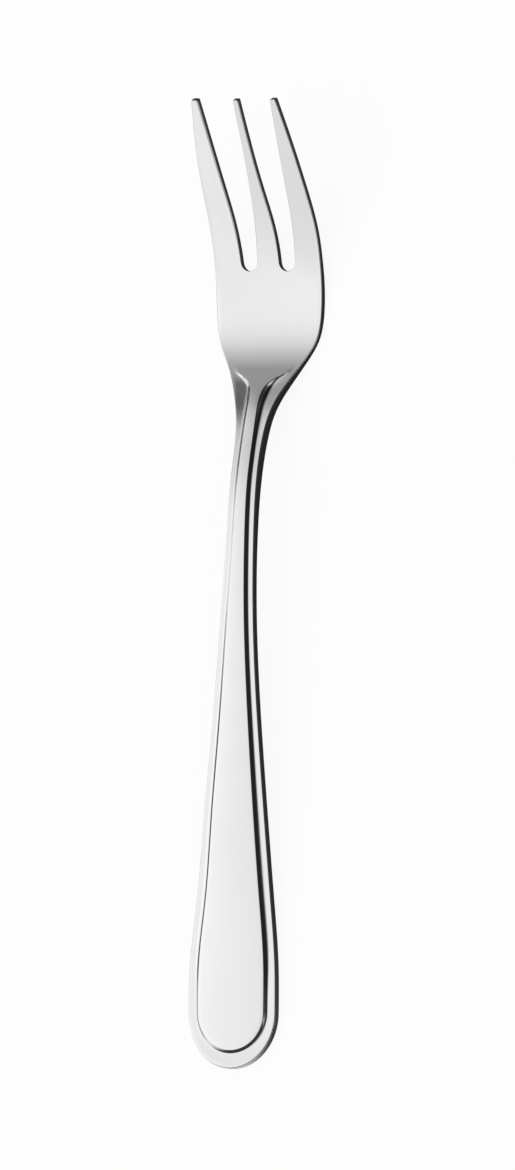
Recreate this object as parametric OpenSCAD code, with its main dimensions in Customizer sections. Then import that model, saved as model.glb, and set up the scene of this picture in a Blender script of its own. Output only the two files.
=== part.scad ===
// Oyster fork with three tines, lying on its back with the hollow side up.
// The tines point along +Y, +Z is up, and the origin is under the middle of the fork, on the table.
// The fork is one forging. Its pieces here are the zones that a maker forges and grinds one by one,
// and each meets the next face to face, square to the length.

/* [Handle] */
// Length of the handle, from its round end to the neck
handle_length = 70; // [60:0.5:80]
// Greatest width of the handle
handle_width = 15.2; // [13:0.1:17]
// Length of the round end of the handle
round_end_length = 8.5; // [7:0.1:10]
// Thickness of the flat border
border_thickness = 1.3; // [1.1:0.05:1.8]
// Width of the flat border along the sides of the handle
side_border = 0.8; // [0.7:0.05:1.2]
// Width of the flat border at the round end
end_border = 2.1; // [1.4:0.05:2.6]
// Height of the panel over the border
panel_rise = 0.35; // [0.2:0.05:0.5]
// Width of the sloping wall round the panel, seen from above
panel_wall = 1.15; // [0.8:0.05:1.3]
// Height of the middle of the panel over its edges
panel_crown = 0.15; // [0.05:0.05:0.3]

/* [Neck] */
// Length of the neck, from the handle to the widening of the head
neck_length = 37; // [30:0.5:45]
// Width of the neck at its narrowest
neck_width = 4.65; // [4.2:0.05:5.4]
// Width of the top of the rib that runs along the neck
rib_width = 1.6; // [1.2:0.1:1.8]
// Height of the rib over the borders beside it, at the waist
rib_rise = 0.35; // [0.2:0.05:0.5]
// Height of the rib over the borders beside it, at the shoulder
shoulder_rise = 0.75; // [0.5:0.05:0.9]
// Width of the sloping walls of the rib, at the waist
rib_wall = 0.8; // [0.6:0.05:0.9]
// Width of the sloping walls of the rib, at the shoulder
shoulder_wall = 2.5; // [2:0.05:2.6]
// Width of the sloping walls at the end of the flare
flare_wall = 1.2; // [0.9:0.05:1.6]
// Thickness of the borders at the shoulder
shoulder_thickness = 1.85; // [1.5:0.05:2.3]
// Height of the back over the table, at the top of the arch
arch_height = 4.8; // [3:0.1:7]
// How much the back of the handle and neck swells across its width
back_swell = 0.15; // [0.05:0.05:0.3]

/* [Head] */
// Length of the head, from the neck to where the slots reach their full width
head_length = 14.5; // [12:0.5:18]
// Greatest width of the head
head_width = 18.6; // [16:0.1:21]
// Thickness of the head
head_thickness = 0.95; // [0.85:0.05:1.4]
// Height of the edges over the middle, at the tine tips
head_dish = 1; // [0.2:0.1:1.2]
// Width of a slot at its round end
slot_width = 2.8; // [2.2:0.1:3.2]
// Distance between the middles of the two slots
slot_spacing = 6.6; // [6:0.1:7.2]

/* [Tines] */
// Length of the tines, seen from above
tine_length = 23.5; // [20:0.5:28]
// Height of the back of the tips over the table
tip_rise = 13.4; // [10:0.1:16]
// Thickness of the tips
tip_thickness = 0.95; // [0.85:0.05:1.3]
// Width of the tip of the middle tine
middle_tip_width = 0.95; // [0.8:0.05:1.3]
// Width of the tips of the outer tines
outer_tip_width = 1.05; // [0.8:0.05:1.4]
// Distance between the outer edges of the outer tips
tip_spread = 14.7; // [13:0.1:16]

/* [Edges] */
// Rounding of the long edges
edge_radius = 0.18; // [0.1:0.01:0.24]
// Rounding of the ends of the tines
tip_radius = 0.15; // [0.1:0.01:0.2]
// Depth of the flats that the fork rests on
rest_depth = 0.04; // [0.03:0.01:0.06]

/* [Hidden] */

neck_start = handle_length;
head_start = neck_start + neck_length;
tine_start = head_start + head_length;
fork_length = tine_start + tine_length;

// The neck is narrowest at the waist, and the panel reaches the edge of the head at the shoulder's end
waist_share = 0.5;
waist = neck_start + neck_length * waist_share;
rib_end_share = 0.22;
rib_end = head_start - neck_length * rib_end_share;
shoulder_end_share = 0.05;
shoulder_end = head_start - neck_length * shoulder_end_share;
// The panel's rise fades between these shares of the shoulder
fade_shares = [0.45, 1.2];
// The wall of the panel is this share of its width round the end, and all of it from here on in the
// handle, where it starts to narrow towards the neck
end_wall_share = 0.6;
narrowing_share = 0.3;
narrowing_start = handle_length * narrowing_share;
// The share of the wall's width that sweeps up from the border, before it rounds over to the panel
foot_share = 0.8;
// The shallow pocket before the steep part of the wall rises by its share of the wall times this
// share of the wall's height. The steps of the pocket reach this far into the steep part.
pocket_rise_share = 0.45;
pocket_step_share = 0.3;
// The narrow border that is left beside the panel in the head
head_border_share = 0.4;
head_border = side_border * head_border_share;

// Width of the handle on its way to the waist: shares of the way, and of the width that is lost
handle_width_shares = [
    [0, 1], [0.08, 0.985], [0.206, 0.797], [0.376, 0.56], [0.544, 0.318], [0.714, 0.133],
    [0.856, 0.038], [1, 0]
];
// Width of the neck and head after the waist: shares of the way to the tines, and of the width gained
head_width_shares = [
    [0.191, 0.018], [0.303, 0.1], [0.417, 0.3], [0.53, 0.595],
    [0.642, 0.88], [0.712, 0.958], [0.803, 0.991], [0.894, 1], [1, 0.997]
];
// Half the top of the panel on its way to the shoulder's end: shares of the way, and of the width gained
flare_shares = [[0, 0], [0.42, 0.12], [0.67, 0.36], [0.8, 0.62], [0.92, 0.92], [1, 1]];

// Height of the back: shares of each zone's length, and of the height that the zone climbs or falls
handle_arch_shares = [[0.17, 0.09], [0.36, 0.26], [0.55, 0.525], [0.74, 0.74], [0.94, 0.945]];
neck_arch_shares = [[0.27, 1], [0.49, 0.9], [0.67, 0.67], [0.79, 0.48], [0.91, 0.18]];
tine_arch_shares = [[0, 0.089], [0.214, 0.215], [0.469, 0.46], [0.724, 0.722], [1, 1]];
end_lift_share = 0.03;
handle_rest_share = 0.07;
head_rest_share = 0.37;

// Edges of the tines: shares of the tine's length, and of what the edge moves from root to tip
outer_edge_shares = [[0, 0], [0.234, 0.02], [0.469, 0.16], [0.724, 0.47], [1, 1]];
inner_edge_shares = [[0, 0], [0.234, 0.22], [0.489, 0.47], [0.745, 0.72], [1, 1]];
middle_edge_shares = [[0, 0], [0.04, 0.025], [0.214, 0.21], [0.469, 0.62], [0.724, 0.86], [1, 1]];

// Steps of the skins
round_end_steps = 9;
handle_steps = 22;
neck_steps = 10;
shoulder_steps = 22;
head_steps = 14;
tine_steps = 14;
edge_steps = 3;
wall_steps = 9;
pocket_steps = 3;
// Places of the points across the panel and the back, as shares of half their width
crown_shares = [0.8, 0.55, 0.28, 0];
back_shares = [0, 0.35, 0.7];
tine_face_shares = [0.33, 0.67];
round_facets = 48;
// Small step along the fork, for reading off a slope, and the distance at which points are one
slope_step_share = 0.1;
slope_step = edge_radius * slope_step_share;
same_point_share = 0.001;
same_point = slope_step * same_point_share;
// The most of a tine's width or thickness that the rounding of one edge takes
rounding_share = 0.45;
// What a cutting shape reaches past the steel
overrun = head_thickness;

// Smooth step from 0 at a to 1 at b, level at both ends
function ease(x, a, b) =
    let (u = min(1, max(0, (x - a) / (b - a))))
    u * u * u * (u * (6 * u - 15) + 10);

function mix(a, b, share) = a + (b - a) * share;

// A smooth curve through points [x, y]: first the bend at each inner point, from a forward sweep
// and a backward sweep over the rows, then the height at any x
function rise_over_run(p, i) = (p[i + 1][1] - p[i][1]) / (p[i + 1][0] - p[i][0]);
function sweep(p, i = 1, last = [0, 0]) =
    i > len(p) - 2 ? [] :
    let (before = p[i][0] - p[i - 1][0])
    let (after = p[i + 1][0] - p[i][0])
    let (pivot = 2 * (before + after) - before * last[0])
    let (turn = 6 * (rise_over_run(p, i) - rise_over_run(p, i - 1)))
    let (row = [after / pivot, (turn - before * last[1]) / pivot])
    concat([row], sweep(p, i + 1, row));
function sweep_back(rows, i, next = 0) =
    i < 0 ? [] :
    let (bend = rows[i][1] - rows[i][0] * next)
    concat(sweep_back(rows, i - 1, bend), [bend]);
function bends(p) = concat([0], sweep_back(sweep(p), len(p) - 3), [0]);
function bow(p) = [p, bends(p)];
function span(p, x, i = 0) = i >= len(p) - 2 || x < p[i + 1][0] ? i : span(p, x, i + 1);
function along(curve, x) =
    let (p = curve[0])
    let (m = curve[1])
    let (i = span(p, x))
    let (h = p[i + 1][0] - p[i][0])
    let (u = (x - p[i][0]) / h)
    let (v = 1 - u)
    v * p[i][1] + u * p[i + 1][1]
    + h * h / 6 * ((v * v * v - v) * m[i] + (u * u * u - u) * m[i + 1]);

// Half the width of the fork, from the round end to the tines
half_width_line = bow(concat(
    [for (q = handle_width_shares)
        [mix(round_end_length, waist, q[0]), mix(neck_width, handle_width, q[1]) / 2]],
    [for (q = head_width_shares)
        [mix(waist, tine_start, q[0]), mix(neck_width, head_width, q[1]) / 2]]
));
function half_width(s) = along(half_width_line, s);

// Height of the back, over the whole length
back_line = bow(concat(
    [[0, arch_height * end_lift_share]],
    [[handle_length * handle_rest_share, -rest_depth]],
    [for (q = handle_arch_shares) [handle_length * q[0], arch_height * q[1]]],
    [for (q = neck_arch_shares) [mix(neck_start, head_start, q[0]), arch_height * q[1]]],
    [[mix(head_start, tine_start, head_rest_share), -rest_depth]],
    [for (q = tine_arch_shares) [mix(tine_start, fork_length, q[0]), tip_rise * q[1]]]
));
function back_height(s) = along(back_line, s);
function slope(s) =
    atan((back_height(s + slope_step) - back_height(s - slope_step)) / (2 * slope_step));

// Thickness of the borders, and then of the head and the tines
function thickness(s) =
    mix(border_thickness, shoulder_thickness, ease(s, neck_start, rib_end))
    - (shoulder_thickness - head_thickness)
        * ease(s, rib_end, mix(head_start, tine_start, head_rest_share))
    - (head_thickness - tip_thickness) * ease(s, tine_start, fork_length);

// A size that changes from the handle to the waist of the neck, and again up to the shoulder
function along_rib(s, in_handle, at_waist, at_shoulder) =
    mix(in_handle, at_waist, ease(s, narrowing_start, neck_start))
    + (at_shoulder - at_waist) * ease(s, waist, shoulder_end);

// Width of the wall round the panel, and height of the panel over the borders, which fades out at
// the shoulder
function side_wall(s) =
    panel_wall * mix(end_wall_share, 1, ease(s, round_end_length, narrowing_start));
function wall(s) =
    along_rib(s, side_wall(s), rib_wall, shoulder_wall)
    - (shoulder_wall - flare_wall) * ease(s, rib_end, shoulder_end);
function step_height(s) =
    along_rib(s, panel_rise, rib_rise, shoulder_rise)
    * (1 - ease((s - rib_end) / (shoulder_end - rib_end), fade_shares[0], fade_shares[1]));

// Width of the border beside the panel
flare_line = bow(flare_shares);
function border(s) =
    let (neck_border = (neck_width - rib_width) / 2 - rib_wall)
    let (rib_border = half_width(s) - rib_width / 2 - wall(s))
    let (handle_border = side_border + panel_wall - side_wall(s))
    s < waist ? mix(handle_border, neck_border, ease(s, narrowing_start, neck_start)) :
    s < rib_end ? rib_border :
    s < shoulder_end ?
        mix(rib_border, head_border, along(flare_line, (s - rib_end) / (shoulder_end - rib_end))) :
    head_border;

// How much the edges stand over the middle: the dish of the face, and the swell of the back
function dish(s) = head_dish * ease(s, head_start, fork_length);
function swell(s) = back_swell * (1 - ease(s, rib_end, tine_start));

// The point at x across and s along the fork, h up through the steel from the back. The sections
// stand upright, and lean back with the tines, so that these end square.
function lean(s) = slope(s) * ease(s, tine_start, fork_length);
function point(x, s, h, edge, on_back = 0) =
    let (tilt = lean(s))
    let (up = h / cos(slope(s) - tilt))
    let (across = x * x / (edge * edge))
    [
        x,
        s - fork_length / 2 - up * sin(tilt),
        back_height(s) + up * cos(tilt) + (dish(s) + swell(s) * on_back) * across
    ];

// Half of a section, from the middle of the back round the edge to the middle of the face, as rows
// [inset from the side, inset from the round end, share of the way out, height, 1 on the back]
function half_section(s) =
    let (r = edge_radius)
    let (t = thickness(s))
    let (b = border(s))
    let (rise = step_height(s))
    let (slant = wall(s))
    concat(
        [for (q = back_shares) [r, r, q, 0, 1]],
        [for (i = [0:edge_steps])
            let (a = 90 * i / edge_steps)
            [r * (1 - sin(a)), r * (1 - sin(a)), 1, r * (1 - cos(a)), 1]],
        [for (i = [0:edge_steps])
            let (a = 90 * i / edge_steps)
            [r * (1 - cos(a)), r * (1 - cos(a)), 1, t - r * (1 - sin(a)), 0]],
        [for (i = [0:wall_steps])
            let (u = wall_way(i, pocket(s)))
            [b + slant * u, end_border + slant * u, 1, t + rise * sweep_up(u, pocket(s)), 0]],
        [for (q = crown_shares)
            [b + slant, end_border + slant, q, t + rise + crown(s) * (1 - q * q), 0]]
    );

// The wall is steep beside the panel. At the shoulder a shallow pocket lies in front of the steep
// part. These are the pocket's share of the wall, the share of the way across the wall at one of its
// steps, and the share of its height there.
function pocket(s) =
    ((shoulder_wall - rib_wall) * ease(s, waist, shoulder_end)
        - (shoulder_wall - flare_wall) * ease(s, rib_end, shoulder_end)) / wall(s);
function wall_way(i, pocket) =
    let (first = mix(pocket, 1, pocket_step_share))
    i < pocket_steps ? first * i / pocket_steps :
    mix(first, 1, (i - pocket_steps) / (wall_steps - pocket_steps));
function sweep_up(u, pocket) =
    let (low = pocket_rise_share * pocket)
    let (v = max(0, u - pocket) / (1 - pocket))
    let (steep = v < foot_share ? v * v / foot_share : 1 - (1 - v) * (1 - v) / (1 - foot_share))
    mix(steep, u * u * (3 - 2 * u), low);
function crown(s) =
    panel_crown * (half_width(s) - border(s) - wall(s)) / (handle_width / 2 - side_border - panel_wall)
    * (1 - ease(s, rib_end, shoulder_end));

// Whole sections: square across the fork at s, and fanned round the middle of the round end
function across(s) =
    let (w = half_width(s))
    let (rows = half_section(s))
    let (side = function (k, q) point(k * (w - q[0]) * q[2], s, q[3], w, q[4]))
    both_sides(rows, side);
function fanned(angle) =
    let (w = half_width(round_end_length))
    let (rows = half_section(round_end_length))
    let (side = function (k, q)
        point(
            k * (w - q[0]) * q[2] * sin(angle),
            round_end_length - (round_end_length - q[1]) * q[2] * cos(angle),
            q[3], w, q[4]
        ))
    both_sides(rows, side);
function both_sides(rows, side) = concat(
    [for (q = rows) side(1, q)],
    [for (i = [len(rows) - 2:-1:1]) side(-1, rows[i])]
);

// Section of a tine between x1 and x2, drawn in by inset, with its edges on the slot side sharp at
// the root. Corners go round from the back to the face.
function tine_section(s, x1, x2, r1, r2, inset) =
    let (w = head_width / 2)
    let (t = thickness(s) - inset)
    let (l = x1 + inset)
    let (r = x2 - inset)
    let (most = rounding_share * min(r - l, t - inset))
    let (rl = min(r1, most))
    let (rr = min(r2, most))
    let (corner = function (cx, ch, radius, from)
        [for (i = [0:edge_steps])
            let (a = from + 90 * i / edge_steps)
            [cx + radius * cos(a), ch + radius * sin(a)]])
    let (outline = concat(
        corner(r - rr, inset + rr, rr, -90),
        corner(r - rr, t - rr, rr, 0),
        [for (q = tine_face_shares) [mix(r - rr, l + rl, q), t]],
        corner(l + rl, t - rl, rl, 90),
        corner(l + rl, inset + rl, rl, 180),
        [for (q = tine_face_shares) [mix(l + rl, r - rr, q), inset]]
    ))
    [for (p = outline) point(p[0], s, p[1], w)];

function same(a, b) = norm(a - b) < same_point;
function proper(a, b, c) = !same(a, b) && !same(b, c) && !same(c, a);
function middle(section) = (section[0] + section[len(section) / 2]) / 2;

// A skin over a row of sections, closed at its two ends by fans of faces. Where the first section is
// folded, its two sides lie on each other and need no fan.
module skin(sections, folded = false) {
    n = len(sections[0]);
    rows = len(sections);
    points = concat(
        [for (section = sections) each section],
        [middle(sections[0]), middle(sections[rows - 1])]
    );
    sides = [for (i = [0:rows - 2]) for (j = [0:n - 1])
        let (k = (j + 1) % n)
        each [[i * n + j, i * n + k, (i + 1) * n + k], [i * n + j, (i + 1) * n + k, (i + 1) * n + j]]];
    last = (rows - 1) * n;
    ends = [for (j = [0:n - 1])
        let (k = (j + 1) % n)
        each [if (!folded) [rows * n, k, j], [rows * n + 1, last + j, last + k]]];
    faces = [for (f = concat(sides, ends))
        if (proper(points[f[0]], points[f[1]], points[f[2]])) f];
    polyhedron(points, faces, convexity = 4);
}

// A section with nothing under the table: the handle's back is flat where it rests
function grounded(section) = [for (p = section) [p[0], p[1], max(0, p[2])]];

module handle() {
    fan = [for (i = [0:round_end_steps - 1]) fanned(90 * i / round_end_steps)];
    blade = [for (i = [0:handle_steps])
        across(mix(round_end_length, handle_length, i / handle_steps))];
    color("silver") skin([for (section = concat(fan, blade)) grounded(section)], folded = true);
}

module neck() {
    shank = [for (i = [0:neck_steps - 1]) across(mix(neck_start, rib_end, i / neck_steps))];
    flare = [for (i = [0:shoulder_steps]) across(mix(rib_end, head_start, i / shoulder_steps))];
    color("silver") skin(concat(shank, flare));
}

// The head, with the round ends of its slots, and its back ground flat where it rests on the table
module head() {
    floor_sections = [for (i = [0:head_steps])
        across(mix(head_start, tine_start, i / head_steps))];
    color("silver") difference() {
        skin(floor_sections);
        for (side = [-1, 1])
            translate([side * slot_spacing / 2, tine_start - fork_length / 2, -overrun])
                cylinder(d = slot_width, h = tip_rise, $fn = round_facets);
        translate([-head_width, -fork_length, -overrun])
            cube([2 * head_width, 2 * fork_length, overrun]);
    }
}

// A tine between two edges that are functions of the place along the fork
module tine(left_edge, right_edge, left_slot, right_slot) {
    straight = [for (i = [0:tine_steps])
        [mix(tine_start, fork_length - tip_radius, i / tine_steps), 0]];
    rounded = [for (i = [1:edge_steps])
        let (a = 90 * i / edge_steps)
        [fork_length - tip_radius * (1 - sin(a)), tip_radius * (1 - cos(a))]];
    color("silver") skin([for (q = concat(straight, rounded))
        let (s = q[0])
        let (slot_radius = edge_radius * ease(s, tine_start, tine_start + slot_width))
        tine_section(
            s, left_edge(s), right_edge(s),
            left_slot ? slot_radius : edge_radius,
            right_slot ? slot_radius : edge_radius,
            q[1]
        )]);
}
function tine_share(s) = (s - tine_start) / tine_length;
function outer_edge(s) =
    mix(half_width(tine_start), tip_spread / 2, along(bow(outer_edge_shares), tine_share(s)));
function inner_edge(s) =
    mix((slot_spacing + slot_width) / 2, tip_spread / 2 - outer_tip_width,
        along(bow(inner_edge_shares), tine_share(s)));
function middle_edge(s) =
    mix((slot_spacing - slot_width) / 2, middle_tip_width / 2,
        along(bow(middle_edge_shares), tine_share(s)));

module left_tine() {
    tine(function (s) -outer_edge(s), function (s) -inner_edge(s), false, true);
}

module middle_tine() {
    tine(function (s) -middle_edge(s), function (s) middle_edge(s), true, true);
}

module right_tine() {
    tine(function (s) inner_edge(s), function (s) outer_edge(s), true, false);
}

handle();
neck();
head();
left_tine();
middle_tine();
right_tine();
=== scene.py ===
# The looks of the oyster fork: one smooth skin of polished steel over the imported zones.
import math

import bmesh
import bpy
from mathutils import Euler, Matrix, Vector


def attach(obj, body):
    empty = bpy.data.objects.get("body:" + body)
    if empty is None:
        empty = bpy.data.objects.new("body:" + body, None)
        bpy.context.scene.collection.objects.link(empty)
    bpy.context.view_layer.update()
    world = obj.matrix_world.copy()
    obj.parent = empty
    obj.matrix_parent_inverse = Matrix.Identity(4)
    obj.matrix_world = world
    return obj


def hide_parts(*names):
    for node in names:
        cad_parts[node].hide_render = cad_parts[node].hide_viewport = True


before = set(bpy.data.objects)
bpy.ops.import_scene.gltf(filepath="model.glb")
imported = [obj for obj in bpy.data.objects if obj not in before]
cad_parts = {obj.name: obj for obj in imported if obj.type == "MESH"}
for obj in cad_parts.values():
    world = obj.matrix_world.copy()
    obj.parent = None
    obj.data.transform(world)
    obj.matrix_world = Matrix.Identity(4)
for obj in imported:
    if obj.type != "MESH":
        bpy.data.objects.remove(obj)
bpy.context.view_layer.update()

# Lengths are in millimetres, up to the finished meshes and the studio, which are in metres.
MM = 0.001

# Sizes of the fork, as in the part's source but for SHOULDER_RISE, which is 0.75 there
HANDLE_LENGTH = 70
HANDLE_WIDTH = 15.2
ROUND_END_LENGTH = 8.5
BORDER_THICKNESS = 1.3
SIDE_BORDER = 0.8
END_BORDER = 2.1
PANEL_RISE = 0.35
PANEL_WALL = 1.15
PANEL_CROWN = 0.15
NECK_LENGTH = 37
NECK_WIDTH = 4.65
RIB_WIDTH = 1.6
RIB_RISE = 0.35
SHOULDER_RISE = 0.35
RIB_WALL = 0.8
SHOULDER_WALL = 2.5
FLARE_WALL = 1.2
SHOULDER_THICKNESS = 1.85
ARCH_HEIGHT = 4.8
BACK_SWELL = 0.15
HEAD_LENGTH = 14.5
HEAD_WIDTH = 18.6
HEAD_THICKNESS = 0.95
HEAD_DISH = 1.0
SLOT_WIDTH = 2.8
SLOT_SPACING = 6.6
TINE_LENGTH = 23.5
TIP_RISE = 13.4
TIP_THICKNESS = 0.95
MIDDLE_TIP_WIDTH = 0.95
OUTER_TIP_WIDTH = 1.05
TIP_SPREAD = 14.7
EDGE_RADIUS = 0.18
TIP_RADIUS = 0.15
REST_DEPTH = 0.04
# The borders lean down towards the rib at the shoulder, as a shallow groove on each side that the
# source hasn't: how steeply, and how far before the head it starts, is full and begins to fade
GROOVE_LEAN = 0.17
GROOVE_START_LENGTH = 14
GROOVE_FULL_LENGTH = 8
GROOVE_FADE_LENGTH = 5.2
# Share of the pocket that the foot of the wall takes over before the groove fades
GROOVE_FOOT_SHARE = 0.22
# The edges of the slots are crisper at their round bottoms, and take this length to become as the rest
SLOT_EDGE_RADIUS = 0.1
SLOT_EDGE_GROWTH = 6
# The columns of the head's face spread out towards the tines and slots from this far beyond the
# shoulder, and bend round the slots over the last length of the head
SPREAD_DELAY = 1
FRONT_LENGTH = 5
# Points closer than this are one, and edges shorter than this go
SAME_POINT = 0.0005
SHORT_EDGE = 0.0002

# Shares of the sizes that they follow, as in the part's source
WAIST_SHARE = 0.5
RIB_END_SHARE = 0.22
SHOULDER_END_SHARE = 0.05
NARROWING_SHARE = 0.3
HEAD_BORDER_SHARE = 0.4
END_WALL_SHARE = 0.6
FOOT_SHARE = 0.8
POCKET_STEP_SHARE = 0.3
FADE_SHARES = (0.45, 1.2)
END_LIFT_SHARE = 0.03
HANDLE_REST_SHARE = 0.07
HEAD_REST_SHARE = 0.37
ROUNDING_SHARE = 0.45
# How far in the flat end of a tip is drawn, as a share of the tip's rounding
TIP_FLAT_SHARE = 1.5

NECK_START = HANDLE_LENGTH
HEAD_START = NECK_START + NECK_LENGTH
TINE_START = HEAD_START + HEAD_LENGTH
FORK_LENGTH = TINE_START + TINE_LENGTH
WAIST = NECK_START + NECK_LENGTH * WAIST_SHARE
RIB_END = HEAD_START - NECK_LENGTH * RIB_END_SHARE
SHOULDER_END = HEAD_START - NECK_LENGTH * SHOULDER_END_SHARE
NARROWING_START = HANDLE_LENGTH * NARROWING_SHARE
HEAD_REST = HEAD_START + HEAD_LENGTH * HEAD_REST_SHARE
SPREAD_START = SHOULDER_END + SPREAD_DELAY
FRONT_START = TINE_START - FRONT_LENGTH
HEAD_BORDER = SIDE_BORDER * HEAD_BORDER_SHARE
GROOVE_START = HEAD_START - GROOVE_START_LENGTH
GROOVE_FULL = HEAD_START - GROOVE_FULL_LENGTH
GROOVE_FADE = HEAD_START - GROOVE_FADE_LENGTH

# Shares of the way along each zone, and of the width, height or move that the line makes on it
HANDLE_WIDTHS = [(0, 1), (0.08, 0.985), (0.206, 0.797), (0.376, 0.56), (0.544, 0.318),
                 (0.714, 0.133), (0.856, 0.038), (1, 0)]
HEAD_WIDTHS = [(0.191, 0.018), (0.303, 0.1), (0.417, 0.3), (0.53, 0.595), (0.642, 0.88),
               (0.712, 0.958), (0.803, 0.991), (0.894, 1), (1, 0.997)]
FLARE = [(0, 0), (0.42, 0.12), (0.67, 0.36), (0.8, 0.62), (0.92, 0.92), (1, 1)]
HANDLE_ARCH = [(0.17, 0.09), (0.36, 0.26), (0.55, 0.525), (0.74, 0.74), (0.94, 0.945)]
NECK_ARCH = [(0.27, 1), (0.49, 0.9), (0.67, 0.67), (0.79, 0.48), (0.91, 0.18)]
TINE_ARCH = [(0, 0.089), (0.214, 0.215), (0.469, 0.46), (0.724, 0.722), (1, 1)]
OUTER_EDGE = [(0, 0), (0.234, 0.02), (0.469, 0.16), (0.724, 0.47), (1, 1)]
INNER_EDGE = [(0, 0), (0.234, 0.22), (0.489, 0.47), (0.745, 0.72), (1, 1)]
MIDDLE_EDGE = [(0, 0), (0.04, 0.025), (0.214, 0.21), (0.469, 0.62), (0.724, 0.86), (1, 1)]

# Steps of the skin round a section: border, wall and panel on the face, then the edge
BORDER_STEPS = 3
WALL_STEPS = 12
POCKET_STEPS = 4
PANEL_STEPS = 9
FACE_STEPS = BORDER_STEPS + WALL_STEPS + PANEL_STEPS
ROUND_STEPS = 6
SIDE_STEPS = 2
# The same steps of the face where the head ends: outer tine, round slot bottom, half the middle tine
OUTER_FACE_STEPS = 5
SLOT_STEPS = 12
MIDDLE_FACE_STEPS = FACE_STEPS - OUTER_FACE_STEPS - SLOT_STEPS
# Steps of the skin along the fork
ROUND_END_ROWS = 28
HANDLE_ROWS = 64
SHANK_ROWS = 32
SHOULDER_ROWS = 34
HEAD_ROWS = 20
FRONT_ROWS = 16
TINE_ROWS = 40
TIP_ROWS = 5

ZONES = ["handle", "neck", "head", "left_tine", "middle_tine", "right_tine"]
HANDLE, NECK, HEAD, LEFT_TINE, MIDDLE_TINE, RIGHT_TINE = range(len(ZONES))


def ease(x, a, b):
    """Smooth step from 0 at a to 1 at b, level at both ends."""
    u = min(1.0, max(0.0, (x - a) / (b - a)))
    return u * u * u * (u * (6 * u - 15) + 10)


def mix(a, b, share):
    return a + (b - a) * share


def smooth_line(points):
    """A function that follows a smooth curve, a natural spline, through the points (x, y)."""
    n = len(points)
    xs = [p[0] for p in points]
    ys = [p[1] for p in points]
    bends = [0.0] * n
    forward = [(0.0, 0.0)]
    for i in range(1, n - 1):
        before = xs[i] - xs[i - 1]
        after = xs[i + 1] - xs[i]
        pivot = 2 * (before + after) - before * forward[-1][0]
        turn = 6 * ((ys[i + 1] - ys[i]) / after - (ys[i] - ys[i - 1]) / before)
        forward.append((after / pivot, (turn - before * forward[-1][1]) / pivot))
    for i in range(n - 2, 0, -1):
        bends[i] = forward[i][1] - forward[i][0] * bends[i + 1]

    def line(x):
        i = 0
        while i < n - 2 and x >= xs[i + 1]:
            i += 1
        h = xs[i + 1] - xs[i]
        u = (x - xs[i]) / h
        v = 1 - u
        return (v * ys[i] + u * ys[i + 1]
                + h * h / 6 * ((v ** 3 - v) * bends[i] + (u ** 3 - u) * bends[i + 1]))
    return line


half_width = smooth_line(
    [(mix(ROUND_END_LENGTH, WAIST, q), mix(NECK_WIDTH, HANDLE_WIDTH, w) / 2) for q, w in HANDLE_WIDTHS]
    + [(mix(WAIST, TINE_START, q), mix(NECK_WIDTH, HEAD_WIDTH, w) / 2) for q, w in HEAD_WIDTHS])
back_height = smooth_line(
    [(0, ARCH_HEIGHT * END_LIFT_SHARE), (HANDLE_LENGTH * HANDLE_REST_SHARE, -REST_DEPTH)]
    + [(HANDLE_LENGTH * q, ARCH_HEIGHT * h) for q, h in HANDLE_ARCH]
    + [(mix(NECK_START, HEAD_START, q), ARCH_HEIGHT * h) for q, h in NECK_ARCH]
    + [(HEAD_REST, -REST_DEPTH)]
    + [(mix(TINE_START, FORK_LENGTH, q), TIP_RISE * h) for q, h in TINE_ARCH])
flare = smooth_line(FLARE)
outer_line = smooth_line(OUTER_EDGE)
inner_line = smooth_line(INNER_EDGE)
middle_line = smooth_line(MIDDLE_EDGE)


def slope(s):
    """Angle at which the back climbs."""
    step = 0.02
    return math.atan2(back_height(s + step) - back_height(s - step), 2 * step)


def thickness(s):
    """Thickness of the steel at its borders."""
    return (mix(BORDER_THICKNESS, SHOULDER_THICKNESS, ease(s, NECK_START, RIB_END))
            - (SHOULDER_THICKNESS - HEAD_THICKNESS) * ease(s, RIB_END, HEAD_REST)
            - (HEAD_THICKNESS - TIP_THICKNESS) * ease(s, TINE_START, FORK_LENGTH))


def along_rib(s, in_handle, at_waist, at_shoulder):
    """A size that changes from the handle to the waist of the neck, and again up to the shoulder."""
    return (mix(in_handle, at_waist, ease(s, NARROWING_START, NECK_START))
            + (at_shoulder - at_waist) * ease(s, WAIST, SHOULDER_END))


def side_wall(s):
    """Width of the wall along the sides of the handle, which is narrower at the round end."""
    return PANEL_WALL * mix(END_WALL_SHARE, 1, ease(s, ROUND_END_LENGTH, NARROWING_START))


def wall(s):
    """Width of the wall round the panel."""
    return (along_rib(s, side_wall(s), RIB_WALL, SHOULDER_WALL)
            - (SHOULDER_WALL - FLARE_WALL) * ease(s, RIB_END, SHOULDER_END))


def pocket(s):
    """Share of the wall that is a shallow pocket in front of its steep part, at the shoulder."""
    return ((SHOULDER_WALL - RIB_WALL) * ease(s, WAIST, SHOULDER_END)
            - (SHOULDER_WALL - FLARE_WALL) * ease(s, RIB_END, SHOULDER_END)) / wall(s)


def wall_way(i, hollow):
    """Share of the way across the wall at one of its steps."""
    first = mix(hollow, 1, POCKET_STEP_SHARE)
    if i < POCKET_STEPS:
        return first * i / POCKET_STEPS
    return mix(first, 1, (i - POCKET_STEPS) / (WALL_STEPS - POCKET_STEPS))


def sweep_up(u, hollow):
    """Share of the wall's height at a share of the way across it."""
    v = max(0, u - hollow) / (1 - hollow)
    return v * v / FOOT_SHARE if v < FOOT_SHARE else 1 - (1 - v) ** 2 / (1 - FOOT_SHARE)


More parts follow.
